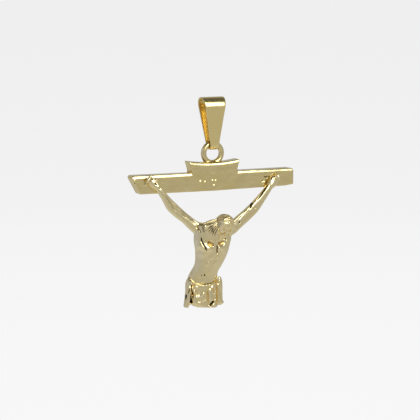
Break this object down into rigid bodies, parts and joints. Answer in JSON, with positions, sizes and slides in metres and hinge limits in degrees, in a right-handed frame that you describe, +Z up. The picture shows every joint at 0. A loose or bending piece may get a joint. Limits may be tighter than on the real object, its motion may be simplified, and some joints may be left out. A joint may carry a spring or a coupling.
{
  "type": "crucifix pendant",
  "caption": "Gold crucifix pendant: a cast crossbar with a title board, ring and hanging figure, swinging on a tapered folded bail.",
  "frame": {"origin": "where a chain sits, at the crest inside the top bend of the bail", "axes": "+X along the crossbar to the viewer's right, which is also the way a chain runs, -Y the way the figure faces, +Z up"},
  "size_m": [0.0299, 0.0064, 0.035],
  "materials": {
    "bail_gold": "polished gold plate",
    "cast_gold": "gold plate, satin in front and bright on the edges"
  },
  "bodies": {
    "bail": {"bail": "bail_gold"},
    "crucifix": {"crucifix": "cast_gold"}
  },
  "joints": [
    {"name": "ring_swing", "type": "hinge", "parent": "bail", "child": "crucifix", "pos_m": [0, 0, -0.00748], "axis": [1, 0, 0], "range_deg": [-120, 120]}
  ]
}
